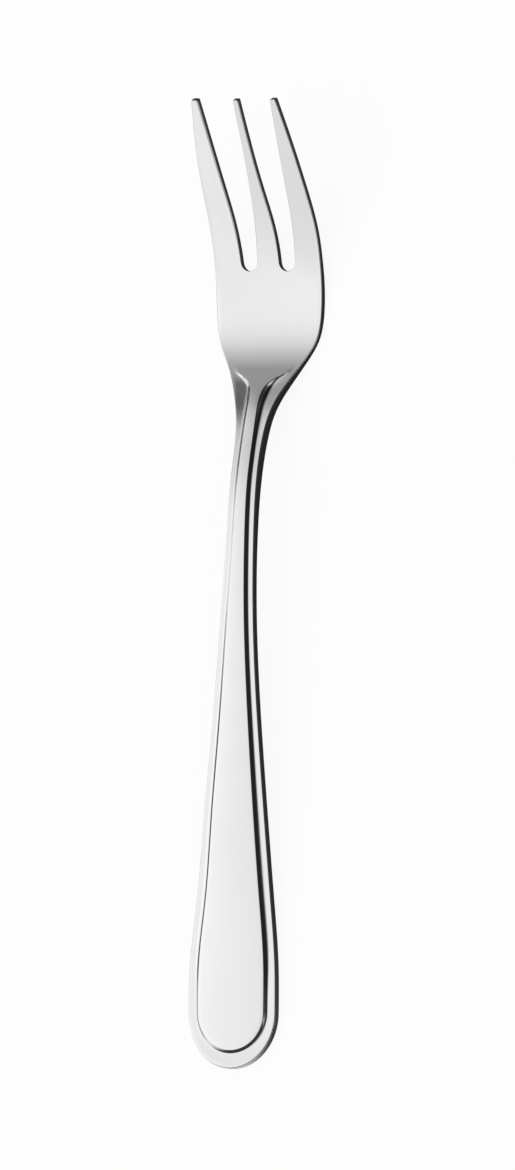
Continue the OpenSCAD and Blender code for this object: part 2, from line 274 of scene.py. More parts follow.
def step_height(s):
    """Height of the panel over the borders."""
    way = (s - RIB_END) / (SHOULDER_END - RIB_END)
    return along_rib(s, PANEL_RISE, RIB_RISE, SHOULDER_RISE) * (1 - ease(way, *FADE_SHARES))


def border(s):
    """Width of the border beside the panel."""
    neck_border = (NECK_WIDTH - RIB_WIDTH) / 2 - RIB_WALL
    rib_border = half_width(s) - RIB_WIDTH / 2 - wall(s)
    if s < WAIST:
        handle_border = SIDE_BORDER + PANEL_WALL - side_wall(s)
        return mix(handle_border, neck_border, ease(s, NARROWING_START, NECK_START))
    if s < RIB_END:
        return rib_border
    if s < SHOULDER_END:
        return mix(rib_border, HEAD_BORDER, flare((s - RIB_END) / (SHOULDER_END - RIB_END)))
    return HEAD_BORDER


def skin_point(x, s, h, on_back=0.0):
    """The point x across and s along the fork, h up through the steel from its back."""
    edge = half_width(min(s, TINE_START))
    tilt = slope(s) * ease(s, TINE_START, FORK_LENGTH)
    up = h / math.cos(slope(s) - tilt)
    dish = HEAD_DISH * ease(s, HEAD_START, FORK_LENGTH)
    swell = BACK_SWELL * (1 - ease(s, RIB_END, TINE_START))
    z = back_height(s) + up * math.cos(tilt) + (dish + swell * on_back) * (x / edge) ** 2
    return Vector((x, s - FORK_LENGTH / 2 - up * math.sin(tilt), max(0.0, z)))


def rounding(radius, steps=ROUND_STEPS):
    """Rows (inset, drop) round a quarter of a circle, from the face down to the side."""
    turns = [math.pi / 2 * i / steps for i in range(steps + 1)]
    return [(radius * (1 - math.sin(a)), radius * (1 - math.cos(a))) for a in turns]


def face_columns(s):
    """Columns of the face from its edge to the middle: insets from the side and from the round
    end, share of the way out from the middle, and height over the border."""
    r = EDGE_RADIUS
    b = border(s)
    slant = wall(s)
    rise = step_height(s)
    full_panel = HANDLE_WIDTH / 2 - SIDE_BORDER - PANEL_WALL
    crown = (PANEL_CROWN * (half_width(s) - b - slant) / full_panel
             * (1 - ease(s, RIB_END, SHOULDER_END)))
    hollow = pocket(s) * (1 - GROOVE_FOOT_SHARE * ease(s, GROOVE_FULL, GROOVE_FADE))
    foot = b + slant * hollow
    lean = (GROOVE_LEAN * ease(s, GROOVE_START, GROOVE_FULL)
            * (1 - ease(s, GROOVE_FADE, SHOULDER_END)))
    rows = []
    for i in range(BORDER_STEPS):
        u = i / BORDER_STEPS
        inset = mix(r, b, u)
        rows.append((inset, mix(r, END_BORDER, u), 1.0, -lean * (inset - r)))
    for i in range(WALL_STEPS):
        u = wall_way(i, hollow)
        inset = b + slant * u
        sweep = sweep_up(u, hollow)
        sunk = -lean * (min(inset, foot) - r)
        rows.append((inset, END_BORDER + slant * u, 1.0, mix(sunk, rise, sweep)))
    for i in range(PANEL_STEPS + 1):
        q = 1 - i / PANEL_STEPS
        rows.append((b + slant, END_BORDER + slant, q, rise + crown * (1 - q * q)))
    return rows


def edge_columns(t):
    """Columns of the outer edge from the back to the face: inset, height, share of the back."""
    r = EDGE_RADIUS
    quarter = rounding(r)
    lower = [(inset, drop, 1.0) for inset, drop in quarter]
    upper = [(inset, t - drop, 0.0) for inset, drop in reversed(quarter)]
    side = [(0.0, mix(r, t - r, i / SIDE_STEPS), 1 - i / SIDE_STEPS) for i in range(1, SIDE_STEPS)]
    return lower + side + upper


def half_ring_square(s):
    """Points (x, s, height, on the back) of half a section that stands square across the fork."""
    w = half_width(s)
    t = thickness(s)
    face = [((w - a) * q, h) for a, b, q, h in face_columns(s)]
    spread = ease(s, SPREAD_START, FRONT_START)
    if spread > 0:
        face = [(mix(x, front_x, spread), h) for (x, h), (front_x, _) in zip(face, front_line(w))]
    return ([(x, s, 0.0, 1.0) for x, h in reversed(face)]
            + [(w - a, s, h, back) for a, h, back in edge_columns(t)[1:-1]]
            + [(x, s, t + h, 0.0) for x, h in face])


def half_ring_round(angle):
    """Half a section that is fanned round the middle of the round end."""
    w = half_width(ROUND_END_LENGTH)
    t = thickness(ROUND_END_LENGTH)

    def place(side_inset, end_inset, share):
        return ((w - side_inset) * share * math.sin(angle),
                ROUND_END_LENGTH - (ROUND_END_LENGTH - end_inset) * share * math.cos(angle))
    face = [(place(a, b, q), h) for a, b, q, h in face_columns(ROUND_END_LENGTH)]
    return ([(*p, 0.0, 1.0) for p, h in reversed(face)]
            + [(*place(a, a, 1.0), h, back) for a, h, back in edge_columns(t)[1:-1]]
            + [(*p, t + h, 0.0) for p, h in face])


def front_line(w):
    """Columns (x, s) of the head's face where it meets the tines and the slots, edge to middle."""
    reach = SLOT_WIDTH / 2 + SLOT_EDGE_RADIUS
    centre = SLOT_SPACING / 2
    line = [(mix(w - EDGE_RADIUS, centre + reach, i / OUTER_FACE_STEPS), TINE_START)
            for i in range(OUTER_FACE_STEPS)]
    for i in range(SLOT_STEPS):
        a = math.pi * i / SLOT_STEPS
        line.append((centre + reach * math.cos(a), TINE_START - reach * math.sin(a)))
    line += [((centre - reach) * (1 - i / MIDDLE_FACE_STEPS), TINE_START)
             for i in range(MIDDLE_FACE_STEPS + 1)]
    return line


def half_ring_front(share):
    """Half a section on the way from the last square one to the front line."""
    s = mix(FRONT_START, TINE_START, share)
    w = half_width(s)
    narrowing = w / half_width(TINE_START)
    face = [(x * narrowing, mix(FRONT_START, q, share))
            for x, q in front_line(half_width(TINE_START))]
    return ([(x, q, 0.0, 1.0) for x, q in reversed(face)]
            + [(w - a, s, h, back) for a, h, back in edge_columns(thickness(s))[1:-1]]
            + [(x, q, thickness(q), 0.0) for x, q in face])


def sheet_of_points(shape, rows, zone_of_row):
    """A grid whose vertices are laid on rows of points, added to the shape, its faces marked
    with the zone of the fork."""
    across = len(rows[0]) - 1
    along = len(rows) - 1
    zone_layer = shape.faces.layers.int["zone"]
    made = bmesh.ops.create_grid(shape, x_segments=across, y_segments=along, size=0.5)["verts"]
    places = {}
    for v in made:
        i = round((v.co.x + 0.5) * across)
        j = round((v.co.y + 0.5) * along)
        places[v] = (i, j)
    faces = {f for v in made for f in v.link_faces}
    for f in faces:
        f[zone_layer] = zone_of_row(min(places[v][1] for v in f.verts))
    for v, (i, j) in places.items():
        v.co = rows[j][i]


def whole_ring(half):
    """A closed ring of points from half a section, right side first."""
    right = [skin_point(x, s, h, back) for x, s, h, back in half]
    left = [Vector((-p.x, p.y, p.z)) for p in reversed(right[:-1])]
    return right + left


def lay_body(shape):
    """Handle, neck and head up to the front line."""
    rings = []
    zones = []

    def lay(halves, zone):
        for half in halves:
            rings.append(whole_ring(half))
            zones.append(zone)

    def lay_square(start, end, count, zone):
        lay([half_ring_square(mix(start, end, i / count)) for i in range(count)], zone)
    quarter_turn = math.pi / 2
    lay([half_ring_round(quarter_turn * i / ROUND_END_ROWS) for i in range(ROUND_END_ROWS)], HANDLE)
    lay_square(ROUND_END_LENGTH, HANDLE_LENGTH, HANDLE_ROWS, HANDLE)
    lay_square(NECK_START, RIB_END, SHANK_ROWS, NECK)
    lay_square(RIB_END, HEAD_START, SHOULDER_ROWS, NECK)
    lay_square(HEAD_START, FRONT_START, HEAD_ROWS, HEAD)
    lay([half_ring_front(i / FRONT_ROWS) for i in range(FRONT_ROWS + 1)], HEAD)
    sheet_of_points(shape, rings, lambda row: zones[row])


def slot_column(angle):
    """Points down the wall round the bottom of a slot, with its two rounded edges."""
    radius = SLOT_WIDTH / 2
    r = SLOT_EDGE_RADIUS
    quarter = rounding(r)

    def point(inset, height_of):
        x = SLOT_SPACING / 2 + (radius + inset) * math.cos(angle)
        s = TINE_START - (radius + inset) * math.sin(angle)
        return skin_point(x, s, height_of(thickness(s)))
    return ([point(inset, lambda t, d=drop: t - d) for inset, drop in quarter]
            + [point(0.0, lambda t, u=i / SIDE_STEPS: mix(t - r, r, u)) for i in range(1, SIDE_STEPS)]
            + [point(inset, lambda t, d=drop: d) for inset, drop in reversed(quarter)])


def lay_slot_bottom(shape, side):
    """The wall round the bottom of the slot on this side, 1 for right and -1 for left."""
    rows = []
    for i in range(SLOT_STEPS + 1):
        column = slot_column(math.pi * i / SLOT_STEPS)
        rows.append([Vector((side * p.x, p.y, p.z)) for p in column])
    sheet_of_points(shape, rows, lambda row: HEAD)


def outer_edge(s):
    return mix(half_width(TINE_START), TIP_SPREAD / 2, outer_line((s - TINE_START) / TINE_LENGTH))


def inner_edge(s):
    return mix((SLOT_SPACING + SLOT_WIDTH) / 2, TIP_SPREAD / 2 - OUTER_TIP_WIDTH,
               inner_line((s - TINE_START) / TINE_LENGTH))


def middle_edge(s):
    return mix((SLOT_SPACING - SLOT_WIDTH) / 2, MIDDLE_TIP_WIDTH / 2,
               middle_line((s - TINE_START) / TINE_LENGTH))


def tine_ring(s, x1, x2, r1, r2, inset, face_steps):
    """A closed ring of points round a tine between x1 and x2, drawn in by the inset."""
    left = x1 + inset
    right = x2 - inset
    top = thickness(s) - inset
    most = ROUNDING_SHARE * min(right - left, top - inset)
    r1 = min(r1, most)
    r2 = min(r2, most)
    q1 = rounding(r1)
    q2 = rounding(r2)
    ring = [(mix(left + r1, right - r2, i / face_steps), inset) for i in range(face_steps)]
    ring += [(right - a, inset + d) for a, d in q2]
    ring += [(right, mix(inset + r2, top - r2, i / SIDE_STEPS)) for i in range(1, SIDE_STEPS)]
    ring += [(right - a, top - d) for a, d in reversed(q2)]
    ring += [(mix(right - r2, left + r1, i / face_steps), top) for i in range(1, face_steps)]
    ring += [(left + a, top - d) for a, d in q1]
    ring += [(left, mix(top - r1, inset + r1, i / SIDE_STEPS)) for i in range(1, SIDE_STEPS)]
    ring += [(left + a, inset + d) for a, d in reversed(q1)]
    return [skin_point(x, s, h) for x, h in ring]


def lay_tine(shape, zone, left_edge, right_edge, left_slot, right_slot, face_steps):
    """A tine between two edge lines, of which those that bound a slot are crisper at its bottom."""
    stations = [(mix(TINE_START, FORK_LENGTH - TIP_RADIUS, i / TINE_ROWS), 0.0)
                for i in range(TINE_ROWS)]
    for i in range(TIP_ROWS + 1):
        a = math.pi / 2 * i / TIP_ROWS
        stations.append((FORK_LENGTH - TIP_RADIUS * (1 - math.sin(a)),
                         TIP_RADIUS * (1 - math.cos(a))))
    stations.append((FORK_LENGTH, TIP_RADIUS * TIP_FLAT_SHARE))
    rows = []
    for s, inset in stations:
        growth = ease(s, TINE_START, TINE_START + SLOT_EDGE_GROWTH)
        slot_radius = mix(SLOT_EDGE_RADIUS, EDGE_RADIUS, growth)
        rows.append(tine_ring(s, left_edge(s), right_edge(s),
                              slot_radius if left_slot else EDGE_RADIUS,
                              slot_radius if right_slot else EDGE_RADIUS, inset, face_steps))
    sheet_of_points(shape, rows, lambda row: zone)


def forge_fork():
    """The whole fork as one closed skin, in millimetres."""
    shape = bmesh.new()
    shape.faces.layers.int.new("zone")
    lay_body(shape)
    for side in (-1, 1):
        lay_slot_bottom(shape, side)
    lay_tine(shape, LEFT_TINE, lambda s: -outer_edge(s), lambda s: -inner_edge(s), False, True,
             OUTER_FACE_STEPS)
    lay_tine(shape, MIDDLE_TINE, lambda s: -middle_edge(s), middle_edge, True, True,
             2 * MIDDLE_FACE_STEPS)
    lay_tine(shape, RIGHT_TINE, inner_edge, outer_edge, True, False, OUTER_FACE_STEPS)
    bmesh.ops.remove_doubles(shape, verts=shape.verts[:], dist=SAME_POINT)
    bmesh.ops.dissolve_degenerate(shape, dist=SHORT_EDGE, edges=shape.edges[:])
    open_edges = [e for e in shape.edges if e.is_boundary]
    zone_layer = shape.faces.layers.int["zone"]
    caps = bmesh.ops.holes_fill(shape, edges=open_edges, sides=0)["faces"]
    for cap in caps:
        neighbours = [f for e in cap.edges for f in e.link_faces if f is not cap]
        cap[zone_layer] = neighbours[0][zone_layer]
    bmesh.ops.recalc_face_normals(shape, faces=shape.faces[:])
    return shape


def number_points(whole):
    """Numbers the points of the whole skin, and gives their normals in that order."""
    number = whole.verts.layers.int.new("number")
    whole.verts.index_update()
    for v in whole.verts:
        v[number] = v.index
    whole.normal_update()
    return [v.normal[:] for v in whole.verts]


def cut_zone(whole, normals, zone, name, steel):
    """One zone of the fork as a closed piece, whose sides keep the whole skin's normals."""
    part = whole.copy()
    zone_layer = part.faces.layers.int["zone"]
    number = part.verts.layers.int["number"]
    bmesh.ops.delete(part, geom=[f for f in part.faces if f[zone_layer] != zone], context="FACES")
    open_edges = [e for e in part.edges if e.is_boundary]
    caps = bmesh.ops.holes_fill(part, edges=open_edges, sides=0)["faces"]
    for cap in caps:
        cap[zone_layer] = -1
    bmesh.ops.recalc_face_normals(part, faces=part.faces[:])
    bmesh.ops.scale(part, vec=(MM, MM, MM), verts=part.verts[:])
    mesh = bpy.data.meshes.new(name)
    part.to_mesh(mesh)
    part.free()
    loops = [None] * len(mesh.loops)
    zones = mesh.attributes["zone"].data
    numbers = mesh.attributes["number"].data
    for polygon in mesh.polygons:
        polygon.use_smooth = True
        cap = zones[polygon.index].value < 0
        for i in polygon.loop_indices:
            loops[i] = polygon.normal[:] if cap else normals[numbers[mesh.loops[i].vertex_index].value]
    mesh.normals_split_custom_set(loops)
    for layer in ("zone", "number"):
        mesh.attributes.remove(mesh.attributes[layer])
    mesh.materials.append(steel)
    piece = bpy.data.objects.new(name, mesh)
    bpy.context.scene.collection.objects.link(piece)
    return piece


# Materials

# Tones of the steel, where it is clean and where it is hazy
CLEAN_TONE = (0.86, 0.86, 0.855, 1)
HAZY_TONE = (0.82, 0.82, 0.815, 1)
# Roughness of the steel there, and what scratches and worn edges add to it
CLEAN_ROUGHNESS = 0.07
HAZY_ROUGHNESS = 0.12
SCRATCH_ROUGHNESS = 0.08
WEAR_ROUGHNESS = 0.15
# Depth of the scratches, in metres
SCRATCH_DEPTH = 0.000004
# Sizes of the patterns, as repeats in a metre
HAZE_SCALE = 90
SCRATCH_SCALE = 420
WEAR_SCALE = 500
# Directions of the scratches, with how many times longer than wide each kind is
SCRATCH_DIRECTIONS = [(0.35, 16), (-0.5, 22), (1.25, 14)]


def node(tree, kind, place, **values):
    made = tree.nodes.new(kind)
    made.location = place
    for key, value in values.items():
        setattr(made, key, value)
    return made


def wire(tree, start, end):
    tree.links.new(start, end)


def scratch_group():
    """Hairline scratches of wiping and use: noise drawn out long in three directions."""
    tree = bpy.data.node_groups.new("hairline_scratches", "ShaderNodeTree")
    tree.interface.new_socket("Vector", in_out="INPUT", socket_type="NodeSocketVector")
    scale = tree.interface.new_socket("Scale", in_out="INPUT", socket_type="NodeSocketFloat")
    scale.default_value = SCRATCH_SCALE
    tree.interface.new_socket("Height", in_out="OUTPUT", socket_type="NodeSocketFloat")
    tree.interface.new_socket("Mask", in_out="OUTPUT", socket_type="NodeSocketFloat")
    start = node(tree, "NodeGroupInput", (-900, 0))
    end = node(tree, "NodeGroupOutput", (700, 0))
    sums = None
    masks = None
    for i, (angle, stretch) in enumerate(SCRATCH_DIRECTIONS):
        turn = node(tree, "ShaderNodeMapping", (-700, -260 * i))
        turn.inputs["Rotation"].default_value = (0, 0, angle)
        turn.inputs["Scale"].default_value = (stretch, 1, 1)
        noise = node(tree, "ShaderNodeTexNoise", (-480, -260 * i))
        noise.inputs["Detail"].default_value = 2
        noise.inputs["Roughness"].default_value = 0.6
        lines = node(tree, "ShaderNodeMapRange", (-260, -260 * i), interpolation_type="SMOOTHSTEP")
        lines.inputs["From Min"].default_value = 0.62
        lines.inputs["From Max"].default_value = 0.72
        wire(tree, start.outputs["Vector"], turn.inputs["Vector"])
        wire(tree, turn.outputs["Vector"], noise.inputs["Vector"])
        wire(tree, start.outputs["Scale"], noise.inputs["Scale"])
        wire(tree, noise.outputs["Fac"], lines.inputs["Value"])
        if sums is None:
            sums = noise.outputs["Fac"]
            masks = lines.outputs["Result"]
        else:
            add = node(tree, "ShaderNodeMath", (0, -260 * i), operation="ADD")
            most = node(tree, "ShaderNodeMath", (200, -260 * i), operation="MAXIMUM")
            wire(tree, sums, add.inputs[0])
            wire(tree, noise.outputs["Fac"], add.inputs[1])
            wire(tree, masks, most.inputs[0])
            wire(tree, lines.outputs["Result"], most.inputs[1])
            sums = add.outputs["Value"]
            masks = most.outputs["Value"]
    wire(tree, sums, end.inputs["Height"])
    wire(tree, masks, end.inputs["Mask"])
    return tree


def wear_group():
    """Wear along edges: a mask from how sharply the surface bulges, broken up by noise."""
    tree = bpy.data.node_groups.new("edge_wear", "ShaderNodeTree")
    tree.interface.new_socket("Vector", in_out="INPUT", socket_type="NodeSocketVector")
    breakup = tree.interface.new_socket("Breakup", in_out="INPUT", socket_type="NodeSocketFloat")
    breakup.default_value = WEAR_SCALE
    tree.interface.new_socket("Mask", in_out="OUTPUT", socket_type="NodeSocketFloat")
    start = node(tree, "NodeGroupInput", (-700, 0))
    end = node(tree, "NodeGroupOutput", (400, 0))
    shape = node(tree, "ShaderNodeNewGeometry", (-700, 240))
    bulge = node(tree, "ShaderNodeMapRange", (-440, 240))
    bulge.inputs["From Min"].default_value = 0.51
    bulge.inputs["From Max"].default_value = 0.6
    noise = node(tree, "ShaderNodeTexNoise", (-440, -60))
    noise.inputs["Detail"].default_value = 3
    both = node(tree, "ShaderNodeMath", (-120, 60), operation="MULTIPLY", use_clamp=True)
    wire(tree, shape.outputs["Pointiness"], bulge.inputs["Value"])
    wire(tree, start.outputs["Vector"], noise.inputs["Vector"])
    wire(tree, start.outputs["Breakup"], noise.inputs["Scale"])
    wire(tree, bulge.outputs["Result"], both.inputs[0])
    wire(tree, noise.outputs["Fac"], both.inputs[1])
    wire(tree, both.outputs["Value"], end.inputs["Mask"])
    return tree


def polished_steel(scratches, wear):
    """Stainless steel polished to a mirror, with the faint haze and hairlines of a wiped fork."""
    steel = bpy.data.materials.new("polished_steel")
    steel.use_nodes = True
    tree = steel.node_tree
    shader = tree.nodes["Principled BSDF"]
    shader.inputs["Metallic"].default_value = 1.0
    where = node(tree, "ShaderNodeTexCoord", (-1300, 0))
    centre = node(tree, "ShaderNodeMapping", (-1100, 0))
    wire(tree, where.outputs["Object"], centre.inputs["Vector"])
    hairs = node(tree, "ShaderNodeGroup", (-850, -200), node_tree=scratches)
    hairs.inputs["Scale"].default_value = SCRATCH_SCALE
    edges = node(tree, "ShaderNodeGroup", (-850, -420), node_tree=wear)
    edges.inputs["Breakup"].default_value = WEAR_SCALE
    haze = node(tree, "ShaderNodeTexNoise", (-850, 160))
    haze.inputs["Scale"].default_value = HAZE_SCALE
    haze.inputs["Detail"].default_value = 4
    for end in (hairs.inputs["Vector"], edges.inputs["Vector"], haze.inputs["Vector"]):
        wire(tree, centre.outputs["Vector"], end)
    tone = node(tree, "ShaderNodeMix", (-520, 220), data_type="RGBA")
    tone.inputs["A"].default_value = CLEAN_TONE
    tone.inputs["B"].default_value = HAZY_TONE
    wire(tree, haze.outputs["Fac"], tone.inputs["Factor"])
    wire(tree, tone.outputs["Result"], shader.inputs["Base Color"])
    cloud = node(tree, "ShaderNodeMapRange", (-600, 0))
    cloud.inputs["From Min"].default_value = 0.35
    cloud.inputs["From Max"].default_value = 0.7
    cloud.inputs["To Min"].default_value = CLEAN_ROUGHNESS
    cloud.inputs["To Max"].default_value = HAZY_ROUGHNESS
    wire(tree, haze.outputs["Fac"], cloud.inputs["Value"])
    lines = node(tree, "ShaderNodeMath", (-400, -120), operation="MULTIPLY_ADD")
    lines.inputs[1].default_value = SCRATCH_ROUGHNESS
    wire(tree, hairs.outputs["Mask"], lines.inputs[0])
    wire(tree, cloud.outputs["Result"], lines.inputs[2])
    worn = node(tree, "ShaderNodeMath", (-200, -160), operation="MULTIPLY_ADD", use_clamp=True)
    worn.inputs[1].default_value = WEAR_ROUGHNESS
    wire(tree, edges.outputs["Mask"], worn.inputs[0])
    wire(tree, lines.outputs["Value"], worn.inputs[2])
    wire(tree, worn.outputs["Value"], shader.inputs["Roughness"])
    bump = node(tree, "ShaderNodeBump", (-200, -380))
    bump.inputs["Strength"].default_value = 0.15
    bump.inputs["Distance"].default_value = SCRATCH_DEPTH
    wire(tree, hairs.outputs["Height"], bump.inputs["Height"])
    wire(tree, bump.outputs["Normal"], shader.inputs["Normal"])
    return steel


# The studio, in metres

# The photograph looks from 31 degrees round the fork's length, and 5.5 degrees from its handle end
VIEW_TURN = math.radians(31)
VIEW_TIP = math.radians(5.5)
VIEW_ROLL = math.radians(-0.12)
CAMERA_DISTANCE = 5.0
PICTURE_WIDTH = 515
PICTURE_HEIGHT = 1170
PIXELS_PER_MM = 6.663
# Where the fork's origin lies in the picture
ORIGIN_PIXEL = (258.7, 587.9)

FLOOR_RADIUS = 1.5
FLOOR_GREY = (0.92, 0.92, 0.92, 1)
# Share of the floor that shows as plain white, so that the rest keeps the fork's shadow
FLOOR_WHITE_SHARE = 0.92
WORLD_STRENGTH = 0.7
KEY_PLACE = Vector((-0.9, -0.3, 1.3))
KEY_WIDTH = 1.2
KEY_LENGTH = 1.6
KEY_POWER = 8

TENT_RADIUS = 2.0
TENT_STRENGTH = 1.16
# Levels of the tent over the angle, from the left horizon (0) past the zenith (0.5) to the right
# horizon (1): beside the fork, and behind the end of its handle
BESIDE_LEVELS = [
    (0.0, 0.85), (0.08, 0.88), (0.16, 0.96), (0.25, 1.0), (0.29, 0.94), (0.325, 0.86), (0.37, 0.8),
    (0.4, 0.74), (0.43, 0.55), (0.455, 0.3), (0.48, 0.09), (0.52, 0.02), (0.6, 0.012), (0.9, 0.02),
    (1.0, 0.2)]
BEHIND_LEVELS = [
    (0.0, 0.73), (0.25, 0.73), (0.31, 0.8), (0.36, 0.86), (0.42, 0.76), (0.48, 0.45), (0.54, 0.1),
    (0.6, 0.04), (0.68, 0.06), (0.77, 0.4), (0.88, 0.6), (1.0, 0.7)]
# Where the tent changes from beside to behind, as directions along the fork
BEHIND_START = -0.05
BEHIND_FULL = -0.4
# Dimmer from over the fork (0.5) to beyond the tines (1)
LENGTH_LEVELS = [
    (0.0, 1.0), (0.5, 1.0), (0.55, 0.94), (0.6, 0.87), (0.65, 0.78), (0.7, 0.65), (0.75, 0.5),
    (0.8, 0.38), (0.85, 0.3), (0.92, 0.34), (1.0, 0.4)]
# Dark flags in the tent: the share of light that each takes, and its masks (direction, start, end),
# which rise from nothing at the start to the whole at the end. For the left side of the rib at the
# shoulder
LEFT_FLAG = (0.93, [("up", 0.56, 0.1), ("along", 0.09, 0.26), ("along", 0.62, 0.48),
                    ("across", -0.2, -0.5)])
# For the left line of the panel, but not in the middle of the neck
LOW_FLAG = (0.92, [("up", 0.3, 0.12), ("along", -0.4, -0.25), ("along", 0.078, 0.06),
                   ("across", -0.2, -0.5)])
# For the line round the end of the panel
END_FLAG = (0.95, [("up", 0.5, 0.4), ("up", 0.05, 0.15), ("along", -0.5, -0.7),
                   ("across", -0.62, -0.5)])
# For the left pocket at the shoulder
POCKET_FLAG = (0.5, [("along", 0.42, 0.6), ("across", -0.56, -0.28), ("across", 0.1, -0.1)])

# Painted reflections: glowing paper on the table that only the steel shows, in patches (left, right,
# near, far), with levels from just beyond the round end of the handle (0) to just beyond the tips (1)
REFLECTION_SHEET_HEIGHT = 0.00003
REFLECTION_SHEET_REACH = (-0.08, 0.08)
# Under the fork, to its right and beyond its tips: painted light just beyond the round end, painted
# dark from there on
UNDER_PATCHES = [(-0.008, 0.6, -0.6, 0.6), (-0.06, -0.008, 0.085, 0.6)]
UNDER_LEVELS = [
    (0.0, 0.85), (0.035, 0.8), (0.048, 0.5), (0.058, 0.1), (0.075, 0.05), (0.2, 0.03), (0.75, 0.015),
    (0.85, 0.04), (1.0, 0.05)]
# Beside the fork on its left: painted dark, with painted light where the neck starts
LEFT_PATCHES = [(-0.025, -0.008, 0.013, 0.045), (-0.6, -0.025, -0.066, 0.045),
                (-0.025, -0.0115, -0.066, -0.04)]
LEFT_LEVELS = [
    (0.0, 0.4), (0.1, 0.2), (0.2, 0.04), (0.42, 0.03), (0.47, 0.35), (0.51, 0.95), (0.58, 0.95),
    (0.61, 0.4), (0.64, 0.02), (0.85, 0.04), (1.0, 0.05)]
# A painted reflection: a glowing card that stands off the round end of the handle, which only the
# steel shows, light at its left end and dark beyond, with levels from its left end (0) to its right
# end (1)
END_CARD_MIDDLE = Vector((0.0175, -0.095, 0.028))
END_CARD_HALF_WIDTH = 0.0825
END_CARD_HALF_HEIGHT = 0.023
END_CARD_LEVELS = [(0.0, 0.9), (0.05, 0.8), (0.1, 0.4), (0.16, 0.06), (0.25, 0.04), (1.0, 0.04)]


def set_camera():
    level_up = Vector((0, math.cos(VIEW_TIP), math.sin(VIEW_TIP)))
    level_right = Vector((math.cos(VIEW_TURN), math.sin(VIEW_TURN) * math.sin(VIEW_TIP),
                          -math.sin(VIEW_TURN) * math.cos(VIEW_TIP)))
    right = level_right * math.cos(VIEW_ROLL) - level_up * math.sin(VIEW_ROLL)
    up = level_right * math.sin(VIEW_ROLL) + level_up * math.cos(VIEW_ROLL)
    back = right.cross(up)
    height = PICTURE_HEIGHT / PIXELS_PER_MM * MM
    shift_right = (PICTURE_WIDTH / 2 - ORIGIN_PIXEL[0]) / PIXELS_PER_MM * MM
    shift_up = (ORIGIN_PIXEL[1] - PICTURE_HEIGHT / 2) / PIXELS_PER_MM * MM
    aim = right * shift_right + up * shift_up
    lens = bpy.data.cameras.new("studio_camera")
    lens.sensor_fit = "VERTICAL"
    lens.sensor_height = 24
    lens.lens = lens.sensor_height * CAMERA_DISTANCE / height
    lens.clip_end = 50
    camera = bpy.data.objects.new("studio_camera", lens)
    bpy.context.scene.collection.objects.link(camera)
    turned = Matrix((right, up, back)).transposed().to_4x4()
    camera.matrix_world = Matrix.Translation(aim + back * CAMERA_DISTANCE) @ turned
    bpy.context.scene.camera = camera


def seen_white(tree, surface, output, share):
    """Mixes the surface with plain white for the rays that come from the camera or off metal."""
    path = node(tree, "ShaderNodeLightPath", (-600, 300))
    seen = node(tree, "ShaderNodeMath", (-400, 300), operation="MAXIMUM")
    clear = node(tree, "ShaderNodeMath", (-220, 300), operation="MAXIMUM")
    part = node(tree, "ShaderNodeMath", (-40, 300), operation="MULTIPLY")
    part.inputs[1].default_value = share
    white = node(tree, "ShaderNodeEmission", (-40, 60))
    white.inputs["Color"].default_value = (1, 1, 1, 1)
    white.inputs["Strength"].default_value = 1
    blend = node(tree, "ShaderNodeMixShader", (180, 160))
    wire(tree, path.outputs["Is Camera Ray"], seen.inputs[0])
    wire(tree, path.outputs["Is Glossy Ray"], seen.inputs[1])
    wire(tree, seen.outputs["Value"], clear.inputs[0])
    wire(tree, path.outputs["Is Transmission Ray"], clear.inputs[1])
    wire(tree, clear.outputs["Value"], part.inputs[0])
    wire(tree, part.outputs["Value"], blend.inputs["Fac"])
    wire(tree, surface, blend.inputs[1])
    wire(tree, white.outputs["Emission"], blend.inputs[2])
    wire(tree, blend.outputs["Shader"], output)


def set_up(name, shape, material):
    """Puts a finished shape into the studio as an object of this material."""
    mesh = bpy.data.meshes.new(name)
    shape.to_mesh(mesh)
    shape.free()
    mesh.materials.append(material)
    thing = bpy.data.objects.new(name, mesh)
    bpy.context.scene.collection.objects.link(thing)
    return thing


def only_in_metal(thing):
    """Hides the thing from all but reflections, and keeps its shadow off the floor."""
    thing.visible_camera = False
    thing.visible_diffuse = False
    thing.visible_transmission = False
    thing.visible_volume_scatter = False
    thing.visible_shadow = False
    return thing


def set_floor():
    shape = bmesh.new()
    bmesh.ops.create_circle(shape, cap_ends=True, segments=96, radius=FLOOR_RADIUS)
    paint = bpy.data.materials.new("pale_floor")
    paint.use_nodes = True
    tree = paint.node_tree
    shader = tree.nodes["Principled BSDF"]
    shader.inputs["Base Color"].default_value = FLOOR_GREY
    shader.inputs["Roughness"].default_value = 0.9
    shader.inputs["Specular IOR Level"].default_value = 0.0
    seen_white(tree, shader.outputs["BSDF"], tree.nodes["Material Output"].inputs["Surface"],
               FLOOR_WHITE_SHARE)
    return set_up("floor", shape, paint)


def glowing_sheet(name):
    """A material that only glows, with its node tree and the glow."""
    sheet = bpy.data.materials.new(name)
    sheet.use_nodes = True
    tree = sheet.node_tree
    tree.nodes.remove(tree.nodes["Principled BSDF"])
    glow = node(tree, "ShaderNodeEmission", (60, 0))
    wire(tree, glow.outputs["Emission"], tree.nodes["Material Output"].inputs["Surface"])
    return sheet, tree, glow


def share_between(tree, value, start, end, place):
    """Rises evenly from 0 where the value is start to 1 where it is end."""
    share = node(tree, "ShaderNodeMapRange", place)
    share.inputs["From Min"].default_value = start
    share.inputs["From Max"].default_value = end
    wire(tree, value, share.inputs["Value"])
    return share.outputs["Result"]


def smooth_step(tree, value, start, end, place):
    """Rises smoothly from 0 where the value is start to 1 where it is end."""
    step = node(tree, "ShaderNodeMapRange", place, interpolation_type="SMOOTHSTEP")
    step.inputs["From Min"].default_value = start
    step.inputs["From Max"].default_value = end
    wire(tree, value, step.inputs["Value"])
    return step.outputs["Result"]


